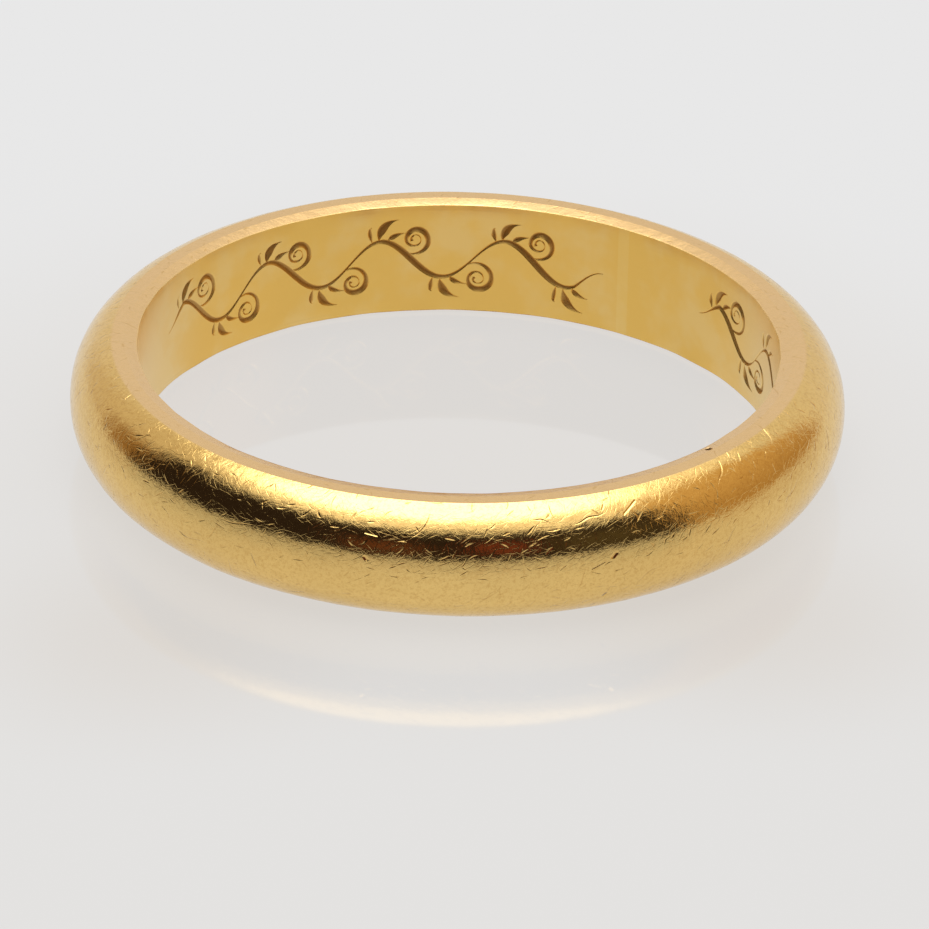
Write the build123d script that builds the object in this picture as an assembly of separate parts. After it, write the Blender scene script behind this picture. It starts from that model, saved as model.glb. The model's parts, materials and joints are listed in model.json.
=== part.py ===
from build123d import *
import math
import os

# Plain wedding band: a D-section gold wire bent into a hoop and soldered at its butt joint.
# Millimetres. The ring's axis is Z and the origin is at the centre of the finger hole.

# --- Driving dimensions ---
finger_diameter = 18.0  # inside of the band
wall_thickness = 1.9  # from the finger hole to the crown of the dome
band_width = 3.5  # along the ring's axis
side_flat = 0.75  # side of the wire, from the finger hole to where the dome starts
bevel_reach = 0.36  # shallow filed bevel round the finger hole, measured across the side
bevel_drop = 0.08  # how far the bevel falls towards the finger hole
dome_half_turn = 76.0  # degrees of ellipse on each side of the crown; under 90 leaves an edge
joint_gap = 0.35  # solder left between the two ends of the wire
joint_angle = 59.0  # degrees from +X, anticlockwise seen from above

# --- Worked out from them ---
bore_radius = finger_diameter / 2
crown_radius = bore_radius + wall_thickness
dome_start_radius = bore_radius + side_flat
half_width = band_width / 2
dome_depth_radius = (crown_radius - dome_start_radius) / (1 - math.cos(math.radians(dome_half_turn)))
dome_height_radius = half_width / math.sin(math.radians(dome_half_turn))
dome_centre_radius = crown_radius - dome_depth_radius
corner_height = half_width - bevel_drop


def filed_bevel(side):
    """The slope from the finger hole up to one flat side: side is +1 on top, -1 below."""
    bore_end = (bore_radius, side * corner_height)
    flat_end = (bore_radius + bevel_reach, side * half_width)
    return Line(bore_end, flat_end)


def wire_section():
    """Half-round wire: bore wall, two bevelled flat sides, and a dome that is part of an ellipse."""
    upper_bevel = filed_bevel(1)
    lower_bevel = filed_bevel(-1)
    bore_wall = Line(lower_bevel @ 0, upper_bevel @ 0)
    dome = EllipticalCenterArc(
        center=(dome_centre_radius, 0),
        x_radius=dome_depth_radius,
        y_radius=dome_height_radius,
        start_angle=-dome_half_turn,
        arc_size=2 * dome_half_turn,
    )
    upper_flat = Line(upper_bevel @ 1, dome @ 1)
    lower_flat = Line(lower_bevel @ 1, dome @ 0)
    outline = Wire([bore_wall, upper_bevel, upper_flat, dome, lower_flat, lower_bevel])
    return Plane.XZ * make_face(outline.edges())


def joint_slab():
    """The thin space between the wire's two ends, square to the hoop."""
    slab_length = 2 * wall_thickness
    slab = Box(slab_length, joint_gap, 2 * band_width)
    at_wall = Pos(bore_radius + wall_thickness / 2, 0, 0)
    return Rot(0, 0, joint_angle) * at_wall * slab


whole_ring = revolve(wire_section(), axis=Axis.Z, revolution_arc=360)
gap_space = joint_slab()

# The hoop is the wire itself. The seam is the wafer of solder that closes it.
nodes = {
    "band_hoop": whole_ring - gap_space,
    "solder_seam": whole_ring & gap_space,
}

os.makedirs("parts", exist_ok=True)
for name, shape in nodes.items():
    solid = shape.solid()
    solid.label = name
    export_step(solid, f"parts/{name}.step")
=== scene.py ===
import json
import math
import random

import bpy
from mathutils import Matrix, Vector


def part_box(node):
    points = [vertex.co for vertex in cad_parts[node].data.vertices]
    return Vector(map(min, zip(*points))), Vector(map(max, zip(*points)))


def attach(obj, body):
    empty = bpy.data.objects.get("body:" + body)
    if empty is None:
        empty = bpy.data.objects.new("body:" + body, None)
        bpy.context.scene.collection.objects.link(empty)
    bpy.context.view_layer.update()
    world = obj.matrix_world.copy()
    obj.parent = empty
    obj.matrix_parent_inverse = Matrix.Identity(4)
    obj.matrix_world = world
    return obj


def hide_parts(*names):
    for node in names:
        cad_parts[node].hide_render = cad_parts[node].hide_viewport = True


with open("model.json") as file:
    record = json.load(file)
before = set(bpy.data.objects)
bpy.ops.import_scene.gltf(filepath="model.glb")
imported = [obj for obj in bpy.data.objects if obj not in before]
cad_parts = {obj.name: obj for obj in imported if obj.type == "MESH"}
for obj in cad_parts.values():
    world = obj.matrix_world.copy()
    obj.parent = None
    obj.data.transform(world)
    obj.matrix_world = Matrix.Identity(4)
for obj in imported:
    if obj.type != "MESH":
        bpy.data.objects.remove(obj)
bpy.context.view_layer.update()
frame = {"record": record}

# --- The hoop --------------------------------------------------------------------------------
# A heavy half-round wire of high-carat yellow gold, drawn straight, cut to length and bent round
# a mandrel until its two ends meet. It was polished bright and has been worn for decades: the
# dome is covered in short hair scratches and shallow knocks, and the finger hole is satin.

mm = 0.001  # every length is in metres unless a comment says otherwise
record = frame["record"]
bore = next(mount for mount in record["mounts"] if mount["name"] == "finger_bore")
hoop_low, hoop_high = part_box("band_hoop")
solder_low, solder_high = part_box("solder_seam")

bore_radius = bore["dims"]["r_mm"] * mm
half_width = (hoop_high.z - hoop_low.z) / 2
wall = (hoop_high.x - hoop_low.x) / 2 - bore_radius
corner_height = bore["dims"]["length_mm"] * mm / 2
bevel_reach = 0.36 * mm  # shallow filed bevel round each end of the finger hole
side_flat = 0.75 * mm  # side of the wire, from the finger hole to where the dome starts
dome_half_turn = 76.0  # degrees of ellipse on each side of the crown
joint_gap = 0.35 * mm  # solder left between the two ends of the wire
joint_middle = (solder_low + solder_high) / 2
joint_angle = math.atan2(joint_middle.y, joint_middle.x)
wire_length = 2 * math.pi * bore_radius  # measured along the wall of the finger hole


class Value:
    """A node socket that takes part in arithmetic: each operator adds one Math node."""

    def __init__(self, tree, socket):
        self.tree = tree
        self.socket = socket

    def math(self, operation, *others):
        sockets = dict(enumerate((self,) + others))
        return self.tree.add("ShaderNodeMath", {"operation": operation}, sockets)

    def output(self, name):
        """Another output of the same node."""
        return Value(self.tree, self.socket.node.outputs[name])

    def __add__(self, other):
        return self.math("ADD", other)

    def __sub__(self, other):
        return self.math("SUBTRACT", other)

    def __mul__(self, other):
        return self.math("MULTIPLY", other)

    def __truediv__(self, other):
        return self.math("DIVIDE", other)

    def __rsub__(self, other):
        return self.tree.number(other) - self

    def __rtruediv__(self, other):
        return self.tree.number(other) / self

    def __gt__(self, other):
        return self.math("GREATER_THAN", other)

    def __neg__(self):
        return self * -1.0

    __radd__ = __add__
    __rmul__ = __mul__

    def step(self, low, high, start=0.0, end=1.0):
        """Rises smoothly from start to end as the value goes from low to high."""
        settings = {"interpolation_type": "SMOOTHSTEP"}
        ends = {"From Min": low, "From Max": high, "To Min": start, "To Max": end}
        return self.tree.add("ShaderNodeMapRange", settings, {"Value": self, **ends})


class Tree:
    """A node tree that is written as expressions."""

    def __init__(self, tree):
        self.tree = tree
        self.tree.nodes.clear()

    def add(self, kind, settings=None, sockets=None, output=0):
        """Adds a node: settings first, then the values or links of its input sockets."""
        node = self.tree.nodes.new(kind)
        for name, value in (settings or {}).items():
            setattr(node, name, value)
        for name, value in (sockets or {}).items():
            if isinstance(value, Value):
                self.tree.links.new(value.socket, node.inputs[name])
            elif value is not None:
                node.inputs[name].default_value = value
        return Value(self, node.outputs[output]) if node.outputs else node

    def mix(self, base, colour, share):
        """Blends two colours, each a socket or three numbers."""
        share_input, base_input, colour_input, colour_output = 0, 6, 7, 2
        sockets = {share_input: share}
        for index, paint in ((base_input, base), (colour_input, colour)):
            sockets[index] = paint if isinstance(paint, Value) else (*paint, 1.0)
        settings = {"data_type": "RGBA"}
        return self.add("ShaderNodeMix", settings, sockets, output=colour_output)

    def number(self, value):
        """A plain number as a socket, for the left side of an operator."""
        node = self.tree.nodes.new("ShaderNodeValue")
        node.outputs[0].default_value = value
        return Value(self, node.outputs[0])


class GeometryTree(Tree):
    """A Geometry Nodes tree with named inputs and one geometry output."""

    def __init__(self, name):
        super().__init__(bpy.data.node_groups.new(name, "GeometryNodeTree"))
        self.tree.interface.new_socket("Mesh", in_out="OUTPUT", socket_type="NodeSocketGeometry")
        self.group_input = self.tree.nodes.new("NodeGroupInput")
        self.identifiers = {}

    def input(self, name, kind="Float"):
        socket_type = "NodeSocket" + kind
        item = self.tree.interface.new_socket(name, in_out="INPUT", socket_type=socket_type)
        self.identifiers[name] = item.identifier
        return Value(self, self.group_input.outputs[name])

    def finish(self, geometry):
        self.add("NodeGroupOutput", None, {0: geometry})

    def make(self, name, inputs):
        """Evaluates the tree with these inputs and returns a plain mesh object."""
        carrier = bpy.data.objects.new(name, bpy.data.meshes.new(name + "_carrier"))
        bpy.context.scene.collection.objects.link(carrier)
        modifier = carrier.modifiers.new(name, "NODES")
        modifier.node_group = self.tree
        for input_name, value in inputs.items():
            modifier[self.identifiers[input_name]] = value
        graph = bpy.context.evaluated_depsgraph_get()
        mesh = bpy.data.meshes.new_from_object(carrier.evaluated_get(graph), depsgraph=graph)
        carrier.modifiers.remove(modifier)
        mesh.name = name
        carrier.data = mesh
        return carrier


def line_object(name, lines, closed=False):
    """One curve object of straight-segment lines: each line is (points, radii)."""
    curve = bpy.data.curves.new(name, "CURVE")
    curve.dimensions = "3D"
    for points, radii in lines:
        spline = curve.splines.new("POLY")
        spline.points.add(len(points) - 1)
        for target, point, radius in zip(spline.points, points, radii):
            target.co = (*point, 1.0)
            target.radius = radius
        spline.use_cyclic_u = closed
    thing = bpy.data.objects.new(name, curve)
    bpy.context.scene.collection.objects.link(thing)
    return thing


def arc(centre, radii, start, end, steps):
    """Points along part of an ellipse, angles in degrees."""
    points = []
    for index in range(steps + 1):
        angle = math.radians(start + (end - start) * index / steps)
        x = centre[0] + radii[0] * math.cos(angle)
        y = centre[1] + radii[1] * math.sin(angle)
        points.append((x, y))
    return points


def straight(start, end, steps):
    """Points between two corners, both left out."""
    points = []
    for index in range(1, steps):
        share = index / steps
        points.append(tuple(a + (b - a) * share for a, b in zip(start, end)))
    return points


def wire_outline():
    """The wire's section, anticlockwise: x is the depth from the finger hole, y the height."""
    bevel_shares = (0.0, 0.1, 0.5, 0.9, 1.0, 1.1, 1.45)  # past 1 they lie on the flat side
    dome_steps = 44
    wall_steps = 16
    bevel = []
    for share in bevel_shares:
        rise = (half_width - corner_height) * min(share, 1.0)
        bevel.append((bevel_reach * share, corner_height + rise))
    half_turn = math.radians(dome_half_turn)
    depth_radius = (wall - side_flat) / (1 - math.cos(half_turn))
    height_radius = half_width / math.sin(half_turn)
    centre = (wall - depth_radius, 0)
    radii = (depth_radius, height_radius)
    dome = arc(centre, radii, -dome_half_turn, dome_half_turn, dome_steps)
    lower_corner = (0.0, -corner_height)
    outline = [(x, -y) for x, y in bevel] + dome + bevel[::-1]
    outline += straight(bevel[0], lower_corner, wall_steps)
    return [(x, y, 0.0) for x, y in outline]


# The ornament inside the band is cut with a square graver, whose groove gets deeper as it gets
# wider. It is a running vine with curled tendrils and leaves, in two lengths either side of the
# joint. Its sizes are in millimetres; across is measured from the back of the band, to the right.
vine = random.Random(7)
hairline = 0.02  # half widths of a groove: where it is thinnest, and where the graver enters
groove_start = 0.01


def bezier(start, first, second, end, steps):
    """Points along a curve with two inner control points."""
    points = []
    for index in range(steps + 1):
        t = index / steps
        weights = ((1 - t) ** 3, 3 * (1 - t) ** 2 * t, 3 * (1 - t) * t * t, t**3)
        pairs = list(zip(weights, (start, first, second, end)))
        points.append(tuple(sum(w * corner[axis] for w, corner in pairs) for axis in (0, 1)))
    return points


def leaf(root, lean, rise, bow, thickness):
    """A comma-shaped cut that springs from the stem and swells before its tip."""
    steps = 20
    widest = 0.45  # share of the way from root to tip
    fullness = 1.6
    tip = (root[0] + lean, root[1] + rise)
    first = (root[0] + lean * 0.15 - bow * 0.6, root[1] + rise * 0.45)
    second = (root[0] + lean * 0.55 - bow, root[1] + rise * 0.95)
    widths = []
    for index in range(steps + 1):
        t = index / steps
        swell = t / widest if t < widest else (1 - t) / (1 - widest)
        body = math.sin(math.pi / 2 * swell) ** fullness
        widths.append(groove_start + (thickness - groove_start) * body)
    return bezier(root, first, second, tip, steps), widths


def tendril(root, size, heading, hand, thickness):
    """A line that leaves the stem and curls up into a volute with a knob at its end."""
    steps = 46
    turns = 0.96  # its length, in turns at full size
    tightening = 0.78  # share of its radius lost by the end
    fullness = 1.4
    knob_start = 0.88
    knob_width = 0.055
    stride = 2 * math.pi * size * turns / steps
    x, y = root
    points = [root]
    widths = [groove_start]
    for index in range(1, steps + 1):
        t = index / steps
        heading += hand * stride / (size * (1 - tightening * t))
        x += stride * math.cos(heading)
        y += stride * math.sin(heading)
        points.append((x, y))
        swell = math.sin(math.pi * min(1.0, 1.2 * t)) ** fullness
        body = hairline + (thickness - hairline) * swell
        knob = knob_width * max(0.0, (t - knob_start) / (1 - knob_start))
        widths.append(max(body, knob))
    return points, widths


def scroll(start, end, pitch, swing):
    """One length of vine, from start to end across the wall: lists of (points, half widths)."""
    wave = 2 * math.pi / pitch
    spacing = 0.07  # between the stem's points
    calmer_ends = 0.9
    thinner_ends = 0.6
    knot = 0.06  # leaves and buds leave the stem just before or after its crests

    def near_end(across, length):
        """0 at either end of the vine, 1 from this length inwards."""
        return max(0.0, min(1.0, (across - start) / length, (end - across) / length))

    def stem_height(across):
        swing_here = swing * math.sin(wave * (across - start))
        return swing_here * (0.25 + 0.75 * near_end(across, calmer_ends))

    stem = []
    stem_widths = []
    steps = round((end - start) / spacing)
    for index in range(steps + 1):
        across = start + (end - start) * index / steps
        fade = near_end(across, thinner_ends)
        swell = 0.5 - 0.5 * math.cos(wave * (across - start))
        stem.append((across, stem_height(across)))
        stem_widths.append(groove_start + fade * (0.022 + 0.075 * swell))
    groups = {"stem": [(stem, stem_widths)], "tendril": [], "leaf": [], "bud": []}
    crests = int((end - start) / (pitch / 2) + 0.2)
    for number in range(crests):
        side = 1 if number % 2 == 0 else -1
        crest = start + pitch / 2 * (number + 0.5)
        scale = vine.uniform(0.85, 1.15)
        fork = crest - pitch * 0.31
        if fork > start + 0.1:
            slope = (stem_height(fork + 0.01) - stem_height(fork - 0.01)) / 0.02
            heading = math.atan(slope) - side * 0.15
            root = (fork, stem_height(fork))
            size = 0.56 * vine.uniform(0.92, 1.08)
            groups["tendril"].append(tendril(root, size, heading, -side, 0.095))
        root = (crest - knot, stem_height(crest - knot))
        groups["leaf"].append(leaf(root, 0.58 * scale, side * 0.66 * scale, 0.17, 0.13))
        root = (crest - 4 * knot, stem_height(crest - 4 * knot))
        groups["bud"].append(leaf(root, -0.04, side * 0.52 * scale, 0.12, 0.075))
        root = (crest + 0.20, stem_height(crest + 0.20))
        groups["bud"].append(leaf(root, 0.52, side * 0.26 * scale, 0.05, 0.08))
    return groups


def on_wire(lines):
    """Moves ornament from across the wall to along the straight wire, whose start is the joint."""
    back = math.pi / 2  # the back of the band is towards +Y
    placed = []
    for points, widths in lines:
        moved = []
        for across, height in points:
            turn = (back - across * mm / bore_radius - joint_angle) % (2 * math.pi)
            moved.append((turn * bore_radius, 0.0, height * mm))
        placed.append((moved, [width * mm for width in widths]))
    return placed


long_vine = scroll(start=-10.3, end=4.4, pitch=3.6, swing=0.60)
short_vine = scroll(start=7.6, end=13.2, pitch=3.2, swing=0.55)
cuts = [
    line_object(name + "_cuts", on_wire(long_vine[name] + short_vine[name]))
    for name in ("stem", "tendril", "leaf", "bud")
]
# The graver's cutting edge and its two wings, which stand clear of the wall.
graver_tip = [(0.72, 0.0, 0.0), (-0.5, 1.7, 0.0), (-0.5, -1.7, 0.0)]
graver = line_object("graver_tip", [(graver_tip, [1.0] * 3)], closed=True)
outline = wire_outline()
section = line_object("wire_section", [(outline, [1.0] * len(outline))], closed=True)


def wire_tree(cut_objects):
    """Draws the straight wire, cuts the ornament in its flat side, and bends it into a hoop."""
    inwards = (0.0, 1.0, 0.0)
    crease_angle = math.radians(10)
    tree = GeometryTree("bend_half_round_wire")
    section_input = tree.input("Wire Section", "Object")
    graver_input = tree.input("Graver Tip", "Object")
    cut_inputs = [tree.input(cut.name, "Object") for cut in cut_objects]
    length = tree.input("Wire Length")
    steps = tree.input("Steps Around", "Int")
    radius = tree.input("Bore Radius")
    gap = tree.input("Joint Gap")
    start = tree.input("Joint Angle")
    solder = tree.input("Solder")
    wear = tree.input("Wear")
    metal = tree.input("Metal", "Material")

    def shape(thing):
        return tree.add("GeometryNodeObjectInfo", None, {"Object": thing}).output("Geometry")

    def swept(path, profile, scale=None):
        """Sweeps a profile with its x axis pointing into the metal."""
        sockets = {0: path, "Normal": inwards}
        path = tree.add("GeometryNodeSetCurveNormal", {"mode": "FREE"}, sockets)
        sockets = {"Curve": path, "Profile Curve": profile, "Scale": scale, "Fill Caps": True}
        return tree.add("GeometryNodeCurveToMesh", None, sockets)

    end = tree.add("ShaderNodeCombineXYZ", None, {"X": length})
    line = tree.add("GeometryNodeCurvePrimitiveLine", None, {"Start": (0, 0, 0), "End": end})
    line = tree.add("GeometryNodeResampleCurve", None, {"Curve": line, "Count": steps})
    wire = swept(line, shape(section_input))
    width = tree.add("GeometryNodeInputRadius")
    for cut_input in cut_inputs:
        grooves = swept(shape(cut_input), shape(graver_input), width)
        settings = {"operation": "DIFFERENCE", "solver": "MANIFOLD"}
        wire = tree.add("GeometryNodeMeshBoolean", settings, {0: wire, 1: grooves})

    place = tree.add("GeometryNodeInputPosition")
    along = tree.add("ShaderNodeSeparateXYZ", None, {0: place})
    depth = along.output("Y")
    height = along.output("Z")
    half_gap = (gap / 2.0 / (radius + depth)).math("ARCSINE")
    share = along.output("X") / length
    first = start + half_gap * (1.0 - 2.0 * solder)
    sweep = 2.0 * half_gap * solder + (2 * math.pi - 2.0 * half_gap) * (1.0 - solder)
    angle = first + sweep * share

    def around_ring(from_axis, level):
        x = from_axis * angle.math("COSINE")
        y = from_axis * angle.math("SINE")
        return tree.add("ShaderNodeCombineXYZ", None, {"X": x, "Y": y, "Z": level})

    def patches(per_mm):
        """Soft random lumps, from 0 to 1, the same on the hoop and on the solder."""
        spot = around_ring(radius + depth, height)
        sockets = {"Vector": spot, "Scale": per_mm / mm, "Detail": 1.0}
        return tree.add("ShaderNodeTexNoise", None, sockets)

    facing = tree.add("ShaderNodeSeparateXYZ", None, {0: tree.add("GeometryNodeInputNormal")})
    on_dome = depth.step(0.5 * mm, 1.0 * mm)
    dents_mm = patches(0.35) * 0.030 + patches(1.3) * 0.009
    pressed_in = wear * on_dome * dents_mm * mm
    near_corner = height.math("ABSOLUTE").step(corner_height - 0.25 * mm, corner_height)
    near_corner = near_corner * depth.step(0.0, 0.12 * mm, 1.0, 0.0)
    rubbing_mm = patches(0.55) * 0.10 + patches(2.4) * 0.02 - 0.04
    rubbed_off = wear * near_corner * rubbing_mm * mm
    worn_radius = radius + depth - facing.output("Y") * pressed_in + rubbed_off
    bent = around_ring(worn_radius, height - facing.output("Z") * pressed_in)
    wire = tree.add("GeometryNodeSetPosition", None, {0: wire, "Position": bent})
    # Bending mirrors the wire and turns its faces inwards, so they are turned back.
    wire = tree.add("GeometryNodeFlipFaces", None, {0: wire})
    crease = tree.add("GeometryNodeInputMeshEdgeAngle") > crease_angle
    wire = tree.add("GeometryNodeSetShadeSmooth", {"domain": "FACE"}, {0: wire, 2: True})
    sharp = {0: wire, 1: crease, 2: False}
    wire = tree.add("GeometryNodeSetShadeSmooth", {"domain": "EDGE"}, sharp)
    wire = tree.add("GeometryNodeRealizeInstances", None, {0: wire})
    wire = tree.add("GeometryNodeSetMaterial", None, {0: wire, "Material": metal})
    tree.finish(wire)
    return tree


def worn_gold(name, colour, wall_colour):
    """Soft high-carat gold: hair scratches and knocks outside, satin inside, brown in the cuts."""
    brushed_side = (0.875, 0.60, 0.285)
    pale_satin_and_reflection = (0.93, 0.76, 0.40)
    dirt_brown = (0.66, 0.40, 0.12)
    groove_brown = (0.50, 0.285, 0.085)
    pit_painted_shade = (0.05, 0.03, 0.02)
    material = bpy.data.materials.new(name)
    material.use_nodes = True
    shader = Tree(material.node_tree)
    per_mm = 1 / mm
    bore_mm = bore_radius * per_mm
    corner_mm = corner_height * per_mm
    dome_unroll = 1.55  # millimetres along the dome for each radian of lean

    # Where a spot is: around the ring from the joint, across the dome from its crown, and the
    # masks of the finger hole's wall, of the cuts in it and of the flat sides.
    place = shader.add("ShaderNodeTexCoord").output("Object")
    place = shader.add("ShaderNodeVectorMath", {"operation": "SCALE"}, {0: place, "Scale": per_mm})
    sideways = shader.add("ShaderNodeSeparateXYZ", None, {0: place}).output("X").math("ABSOLUTE")
    # Painted reflection: the left and right ends of the finger hole's wall are painted paler, as
    # if they mirrored the bright floor.
    painted_reflection_flanks = sideways.step(bore_mm * 0.80, bore_mm * 0.98)
    turned = {"Vector": place, "Rotation": (0.0, 0.0, math.pi - joint_angle)}
    turned = shader.add("ShaderNodeMapping", None, turned)
    parts = shader.add("ShaderNodeSeparateXYZ", None, {0: turned})
    x, y, z = parts.output("X"), parts.output("Y"), parts.output("Z")
    radius = (x * x + y * y).math("SQRT")
    around = y.math("ARCTAN2", x) * (bore_radius + wall) * per_mm
    lean = z.math("ARCTAN2", radius - (bore_radius + side_flat) * per_mm)
    across = lean * dome_unroll
    height = z.math("ABSOLUTE")
    between_corners = height.step(corner_mm - 0.02, corner_mm + 0.01, 1.0, 0.0)
    inside = radius.step(bore_mm + 0.20, bore_mm + 0.26, 1.0, 0.0) * between_corners
    away_from_corner = height.step(corner_mm - 0.20, corner_mm - 0.10, 1.0, 0.0)
    groove = inside * away_from_corner * radius.step(bore_mm + 0.004, bore_mm + 0.035)
    outside = 1.0 - inside
    side = outside * radius.step(bore_mm + 0.70, bore_mm + 0.80, 1.0, 0.0)

    def noise(per_unit, detail=2.0, roughness=0.55, vector=place):
        """Random patches from 0 to 1, with so many in each millimetre."""
        sockets = {"Vector": vector, "Scale": per_unit, "Detail": detail, "Roughness": roughness}
        return shader.add("ShaderNodeTexNoise", None, sockets)

    wander = shader.add("ShaderNodeTexNoise", None, {"Vector": place, "Scale": 0.9, "Detail": 1.0})
    wander = shader.add("ShaderNodeSeparateColor", None, {0: wander.output("Color")})
    strayed_around = around + wander * 0.6
    strayed_across = across + wander.output("Green") * 0.6

    def scratches(turn, length, spacing, width, share, seed):
        """Hair scratches: one in each cell of a turned grid, in a share of the cells."""
        cosine = math.cos(math.radians(turn))
        sine = math.sin(math.radians(turn))
        aside = (strayed_across * cosine - strayed_around * sine) / spacing
        row = aside.math("FLOOR")
        along = (strayed_around * cosine + strayed_across * sine) / length + row * 0.381
        cell = {"X": along.math("FLOOR"), "Y": row, "Z": seed}
        cell = shader.add("ShaderNodeCombineXYZ", None, cell)
        chance = shader.add("ShaderNodeTexWhiteNoise", None, {"Vector": cell})
        draw = shader.add("ShaderNodeSeparateColor", None, {0: chance.output("Color")})
        run = along.math("FRACT") - 0.5
        path = (draw - 0.5) * 0.4 + run * (draw.output("Green") - 0.5) * 1.1
        path = path + run * run * (draw.output("Blue") - 0.5) * 0.8
        distance = (aside.math("FRACT") - 0.5 - path).math("ABSOLUTE") * (spacing / width)
        taper = 1.0 - 4.0 * run * run
        depth = (taper - distance).math("MAXIMUM", 0.0)
        present = chance > 1.0 - share
        return depth * present * width

    def knock(place_around, place_across, turn, length, width):
        """One deeper mark with round ends."""
        cosine = math.cos(math.radians(turn))
        sine = math.sin(math.radians(turn))
        right = around - place_around
        up = across - place_across
        past_end = (right * cosine + up * sine).math("ABSOLUTE") - length / 2
        past_end = past_end.math("MAXIMUM", 0.0)
        beside = up * cosine - right * sine
        distance = (past_end * past_end + beside * beside).math("SQRT")
        return (1.0 - distance / width).math("MAXIMUM", 0.0) * width

    # Each scratch layer: turn in degrees, length, spacing, width, share of cells, seed.
    hair_layers = (
        (28, 0.38, 0.145, 0.013, 0.60, 1.5),
        (-35, 0.32, 0.15, 0.013, 0.50, 2.5),
        (77, 0.30, 0.16, 0.013, 0.40, 3.5),
        (6, 0.60, 0.20, 0.014, 0.45, 4.5),
        (51, 0.50, 0.30, 0.020, 0.35, 5.5),
    )
    nick_layers = (
        (34, 0.30, 0.38, 0.036, 0.20, 6.5),
        (-52, 0.26, 0.44, 0.032, 0.12, 7.5),
        (41, 1.00, 1.50, 0.040, 0.20, 8.5),
    )
    fine = sum(scratches(*layer) for layer in hair_layers)
    nicks = sum(scratches(*layer) for layer in nick_layers)

    # Single marks: place around and across, turn in degrees, length, width.
    marks = knock(10.46, 0.48, 54, 0.16, 0.085)  # a broad nick
    marks = marks + knock(9.98, 0.16, 29, 0.42, 0.026)  # the line that runs into it
    marks = marks + knock(10.28, -1.25, 60, 0.10, 0.07)  # a dent below it
    marks = marks + knock(7.84, 0.50, -88, 1.10, 0.018)  # a long hairline
    marks = marks + knock(0.10, -0.50, -75, 0.50, 0.030)
    marks = marks + knock(11.17, 1.86, 32, 0.55, 0.045)
    marks = marks + knock(3.55, 1.35, -8, 0.36, 0.020)
    marks = marks + knock(3.46, 0.54, -57, 0.10, 0.075)
    # The pit is a hollow in the relief, and its colour is painted near black as the shade inside
    # it.
    pit = knock(15.20, 2.88, 0, 0.05, 0.10)  # a dark hole in the flat side

    # The relief, in millimetres: scratches go down, and the rest is slightly uneven metal.
    hair = (fine * 0.13 + nicks * 0.20) * (1.0 - 0.7 * side) * outside
    knocks = (noise(2.4, 1.0) * 0.010 + noise(8.0, 3.0, 0.65) * 0.0056) * outside
    grain = noise(15.0, 3.0, 0.65) * (0.0034 - 0.0016 * side) * (1.0 - 0.6 * inside)
    lines = {"X": around * 0.25, "Y": z * 9.0, "Z": radius}
    lines = shader.add("ShaderNodeCombineXYZ", None, lines)
    rubbed = noise(1.0, 3.0, 0.6, lines) * 0.0026 * inside
    relief = knocks + grain + rubbed - hair - marks * 0.45 - pit * 0.8
    bump = {"Height": relief, "Distance": mm, "Strength": 1.0}
    bump = shader.add("ShaderNodeBump", None, bump)

    # The colour, from the bare metal to what has settled in the marks and the cuts.
    dirt = (nicks * 26.0 + marks * 14.0).math("MINIMUM", 1.0) * 0.6 * outside
    speckle = noise(9.0, 4.0, 0.8).step(0.44, 0.66) * 0.55 * (1.0 - 0.65 * side) * outside
    # Paler satin patches at random on the wall, plus a painted reflection on its left and right
    # ends.
    pale = noise(0.55, 3.0, 0.6).step(0.42, 0.66) * 0.55 + painted_reflection_flanks * 0.9
    tone = noise(0.35, 2.0).step(0.35, 0.65)
    tint = shader.mix(colour, tuple(channel * 0.96 for channel in colour), tone)
    tint = shader.mix(tint, brushed_side, side)
    # The wall of the finger hole takes a deeper colour, which is painted light thrown to and fro
    # in the hole.
    tint = shader.mix(tint, wall_colour, inside)
    tint = shader.mix(tint, pale_satin_and_reflection, (pale * inside).math("MINIMUM", 1.0) * 0.5)
    tint = shader.mix(tint, dirt_brown, (dirt + speckle).math("MINIMUM", 1.0))
    tint = shader.mix(tint, groove_brown, groove * 0.88)
    # Painted shade: the pit is coloured near black.
    tint = shader.mix(tint, pit_painted_shade, (pit * 16.0).math("MINIMUM", 1.0))
    polish = 0.09 + 0.05 * noise(0.9, 2.0)
    gloss = polish + 0.10 * side + 0.20 * inside + 0.2 * groove
    sockets = {"Base Color": tint, "Metallic": 1.0, "Roughness": gloss, "Normal": bump}
    metal = shader.add("ShaderNodeBsdfPrincipled", None, sockets)
    shader.add("ShaderNodeOutputMaterial", None, {"Surface": metal})
    return material


yellow_gold = (0.90, 0.62, 0.22)
yellow_gold_wall = (0.895, 0.575, 0.145)  # deeper, from light thrown to and fro in the hole
bend = wire_tree(cuts)
wire = {
    "Wire Section": section,
    "Graver Tip": graver,
    "Wire Length": wire_length,
    "Steps Around": 641,  # about 0.09 mm each
    "Bore Radius": bore_radius,
    "Joint Gap": joint_gap,
    "Joint Angle": joint_angle,
    "Solder": 0.0,
    "Wear": 1.0,
    "Metal": worn_gold("worn_yellow_gold", yellow_gold, yellow_gold_wall),
}
wire.update({cut.name: cut for cut in cuts})
hoop = bend.make("gold_hoop", wire)
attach(hoop, "root")
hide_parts("band_hoop")

# --- The solder ------------------------------------------------------------------------------
# The butt joint is closed with a wafer of gold solder, then filed and polished flush with the
# wire. The solder is a slightly paler alloy, which shows only on the wall of the finger hole.

solder_gold = (0.905, 0.63, 0.235)
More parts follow.
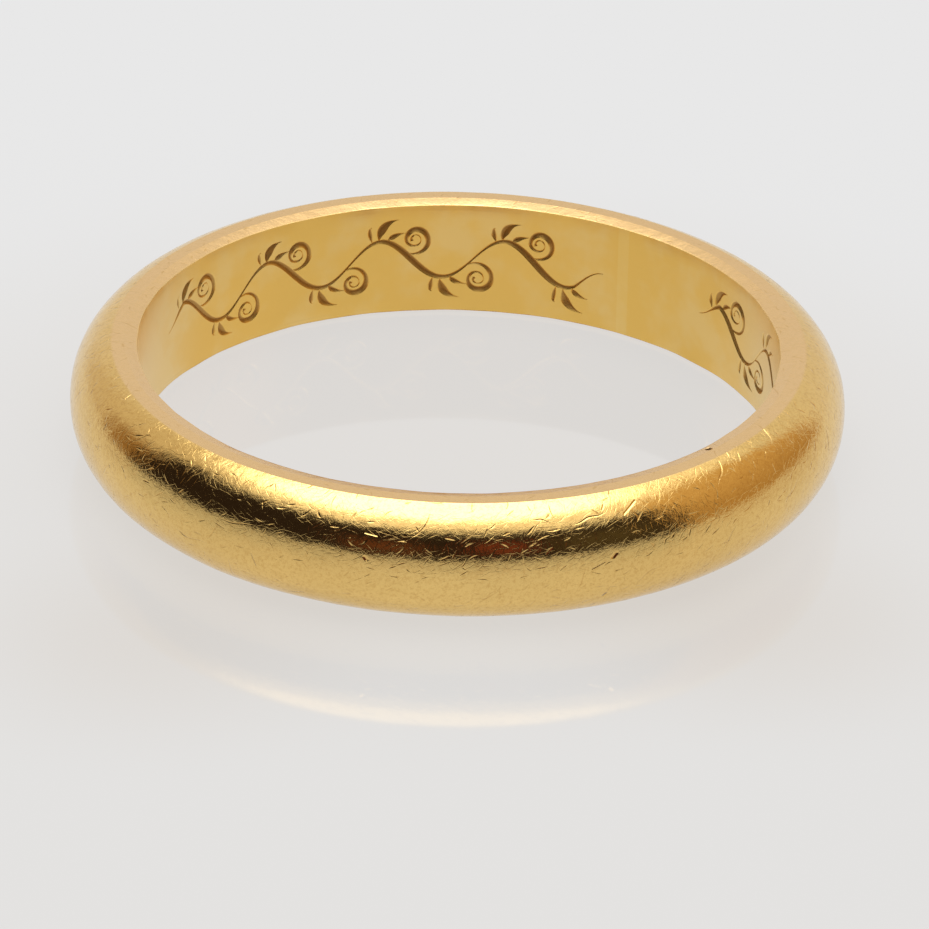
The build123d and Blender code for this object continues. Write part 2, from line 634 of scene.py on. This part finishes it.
# Deeper on the wall of the finger hole: painted light thrown to and fro in the hole, as on the
# hoop.
solder_gold_wall = (0.905, 0.605, 0.175)
wire["Wire Length"] = joint_gap
wire["Steps Around"] = 5
wire["Solder"] = 1.0
wire["Metal"] = worn_gold("pale_gold_solder", solder_gold, solder_gold_wall)
seam = bend.make("gold_solder", wire)
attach(seam, "root")
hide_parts("solder_seam")
for helper in cuts + [graver, section]:
    bpy.data.objects.remove(helper)

# --- The floor -------------------------------------------------------------------------------
# A flat pale sheet of satin acrylic, lit from below, so that it glows by itself and mirrors the
# ring only faintly. It lies level, and the ring rests on it under its own weight.

reach = 3.0
level = hoop_low.z
corners = [(-reach, -reach), (reach, -reach), (reach, reach), (-reach, reach)]
floor = bpy.data.objects.new("floor", bpy.data.meshes.new("floor"))
bpy.context.scene.collection.objects.link(floor)
floor.data.from_pydata([(x, y, level) for x, y in corners], [], [(0, 1, 2, 3)])
paper = bpy.data.materials.new("floor_paper")
paper.use_nodes = True
sheet = Tree(paper.node_tree)
spot = sheet.add("ShaderNodeTexCoord").output("Object")
spot = sheet.add("ShaderNodeSeparateXYZ", None, {0: spot})
right_mm = spot * (1 / mm)
back_mm = spot.output("Y") * (1 / mm)


def painted_shadow_patch(x_mm, y_mm, inner, outer):
    """A soft round patch of painted shadow on the floor, 1 in its middle and 0 outside it."""
    right = right_mm - x_mm
    back = back_mm - y_mm
    return (right * right + back * back).math("SQRT").step(inner, outer, 1.0, 0.0)


# Painted light: the sheet's glow is painted brighter towards the back.
near_sheet = (0.700, 0.694, 0.686)
far_sheet = (0.738, 0.742, 0.748)
shaded_sheet = (0.645, 0.611, 0.574)
# Painted shadows: a soft darker ring round the ring and two patches in front of it, to the left
# and right.
shade = painted_shadow_patch(0.0, 0.0, 6.0, 20.0) * 0.50
shade = shade + painted_shadow_patch(-8.6, -12.2, 0.0, 8.0) * 0.6 + painted_shadow_patch(9.0, -10.3, 0.0, 8.0) * 0.6
glow_with_painted_light_and_shade = sheet.mix(near_sheet, far_sheet, back_mm.step(-18.0, 25.0))
glow_with_painted_light_and_shade = sheet.mix(glow_with_painted_light_and_shade, shaded_sheet, shade.math("MINIMUM", 1.0))
glow = sheet.add("ShaderNodeEmission", None, {"Color": glow_with_painted_light_and_shade})
dull = sheet.add("ShaderNodeBsdfDiffuse", None, {"Color": (0.06, 0.06, 0.06, 1)})
lit = sheet.add("ShaderNodeAddShader", None, {0: glow, 1: dull})
gloss = sheet.add("ShaderNodeBsdfGlossy", None, {"Color": (1, 1, 1, 1), "Roughness": 0.055})
mirror = sheet.add("ShaderNodeFresnel", None, {"IOR": 1.27}).math("MINIMUM", 0.3)
mixed = sheet.add("ShaderNodeMixShader", None, {0: mirror, 1: lit, 2: gloss})
sheet.add("ShaderNodeOutputMaterial", None, {"Surface": mixed})
floor.data.materials.append(paper)

# --- The light -------------------------------------------------------------------------------
# A round softbox hangs almost straight above the ring in a plain white room. The near side of
# the room is one dark opening, and a warm brown card stands upright at the right of it.

world = bpy.data.worlds.new("tent")
bpy.context.scene.world = world
world.use_nodes = True
sky = Tree(world.node_tree)
ray = sky.add("ShaderNodeTexCoord").output("Generated")
parts = sky.add("ShaderNodeSeparateXYZ", None, {0: ray})
ray_x = parts.output("X")
ray_y = parts.output("Y")
degrees = 180 / math.pi
azimuth = ray_x.math("ARCTAN2", -ray_y) * degrees  # 0 at the near side, growing to the right
height = parts.output("Z").math("ARCSINE") * degrees


def window(value, low, high, soft):
    """1 from low to high and 0 outside them, with soft edges."""
    return value.step(low - soft, low + soft) * value.step(high - soft, high + soft, 1.0, 0.0)


def panel(left, right, soft_sides, foot, top, soft_ends):
    """A patch of the room from one azimuth to another and one height to another, in degrees."""
    return window(azimuth, left, right, soft_sides) * window(height, foot, top, soft_ends)


white_wall = (0.77, 0.74, 0.72)
ceiling = (1.2, 1.15, 1.08)
left_wall = (0.66, 0.59, 0.51)
card_foot = (0.47, 0.295, 0.13)
card_top = (0.70, 0.49, 0.26)
skirting = (0.33, 0.20, 0.09)
light = sky.mix(white_wall, ceiling, window(height, 46, 200, 6))
light = sky.mix(light, left_wall, panel(-150, -92, 6, -2, 54, 5))
card = sky.mix(card_foot, card_top, height.step(0, 50))
light = sky.mix(light, card, panel(70, 130, 2.0, -3, 56, 3))
light = sky.mix(light, skirting, panel(-124, -97, 6, -8, 26, 8))

dark_room = (0.024, 0.017, 0.017)
brown_glimmer = (0.13, 0.05, 0.028)
red_glimmer = (0.19, 0.05, 0.03)
olive_glimmer = (0.075, 0.060, 0.037)
room = sky.mix(dark_room, brown_glimmer, panel(-30, -10, 5, 8, 25, 5))
room = sky.mix(room, red_glimmer, panel(8, 20, 4, 12, 30, 5))
room = sky.mix(room, olive_glimmer, panel(30, 60, 8, 8, 32, 7))
ragged = {"Vector": ray, "Scale": 6.0, "Detail": 3.0}
ragged = sky.add("ShaderNodeTexNoise", None, ragged) - 0.5
opening = window(azimuth + ragged * 5.0, -107, 70, 2.5)
opening = opening * window(height + ragged * 26.0, -30, 47, 6)
light = sky.mix(light, room, opening)

softbox_white = (3.85, 3.8, 3.7)
softbox_middle = Vector((-0.052, 0.087, 0.995)).normalized()
from_softbox = {0: ray, 1: softbox_middle}
dot_product = {"operation": "DOT_PRODUCT"}
from_softbox = sky.add("ShaderNodeVectorMath", dot_product, from_softbox, output="Value")
from_softbox = from_softbox.math("ARCCOSINE") * degrees
light = sky.mix(light, softbox_white, from_softbox.step(18, 32, 1.0, 0.0))
background = sky.add("ShaderNodeBackground", None, {"Color": light, "Strength": 1.0})
sky.add("ShaderNodeOutputWorld", None, {"Surface": background})

# --- The camera ------------------------------------------------------------------------------
# A long lens on a stand in front of the ring, looking down at it from about 27 degrees and
# leaning a little over a degree to one side.

distance = 0.363
lift = math.radians(26.78)
roll = math.radians(1.444)
aim_right = 0.1966 * mm
aim_below = 1.832 * mm
lens_mm = 500.8
towards = Vector((0.0, math.cos(lift), -math.sin(lift)))
level_right = Vector((1.0, 0.0, 0.0))
level_up = level_right.cross(towards)
right = level_right * math.cos(roll) + level_up * math.sin(roll)
up = level_up * math.cos(roll) - level_right * math.sin(roll)
eye = -towards * distance
target = right * aim_right - up * aim_below
sight = (target - eye).normalized()
right = sight.cross(up).normalized()
up = right.cross(sight)
turn = Matrix((right, up, -sight)).transposed().to_4x4()
camera = bpy.data.objects.new("camera", bpy.data.cameras.new("camera"))
bpy.context.scene.collection.objects.link(camera)
camera.matrix_world = Matrix.Translation(eye) @ turn
camera.data.lens = lens_mm
camera.data.clip_start = 0.01
camera.data.clip_end = 10.0
bpy.context.scene.camera = camera
bpy.context.scene.view_settings.view_transform = "Standard"
